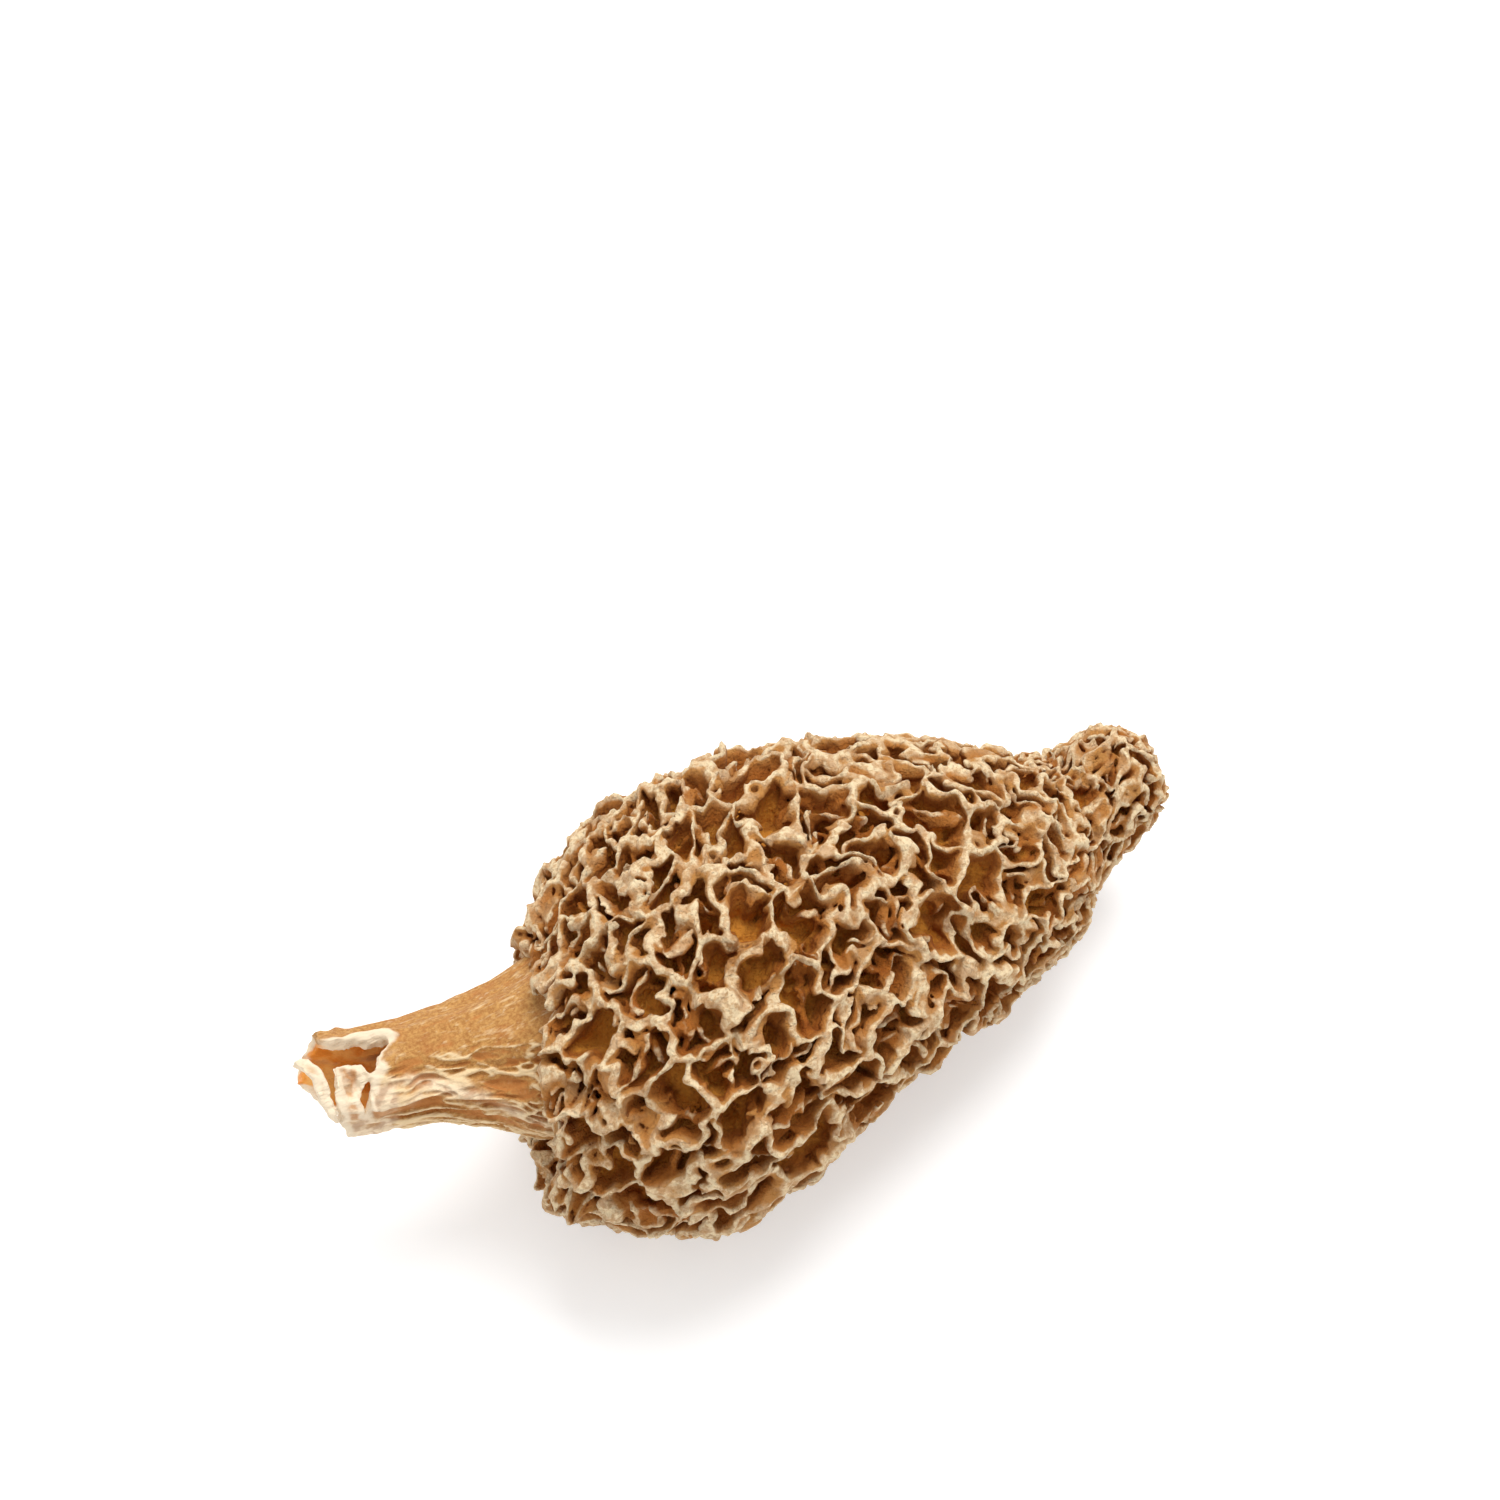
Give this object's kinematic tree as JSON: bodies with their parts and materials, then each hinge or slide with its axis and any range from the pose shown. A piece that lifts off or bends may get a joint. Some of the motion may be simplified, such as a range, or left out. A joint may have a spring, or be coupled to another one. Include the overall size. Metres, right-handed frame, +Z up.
{
  "type": "morel mushroom",
  "caption": "Dried morel mushroom lying on its side: a tapered cap with a raised net of ridges round deep pits, on a short hollow stem with a torn open end.",
  "frame": {"origin": "middle of the footprint on the surface that the mushroom lies on", "axes": "+Z up from the surface, +X along the mushroom's length towards the cap's tip, with the torn stem end towards -X"},
  "size_m": [0.0722, 0.0342, 0.03],
  "materials": {
    "morel_flesh": "dry, matt, pale tan ridges over amber brown pits"
  },
  "bodies": {
    "root": {"morel": "morel_flesh"}
  },
  "joints": []
}
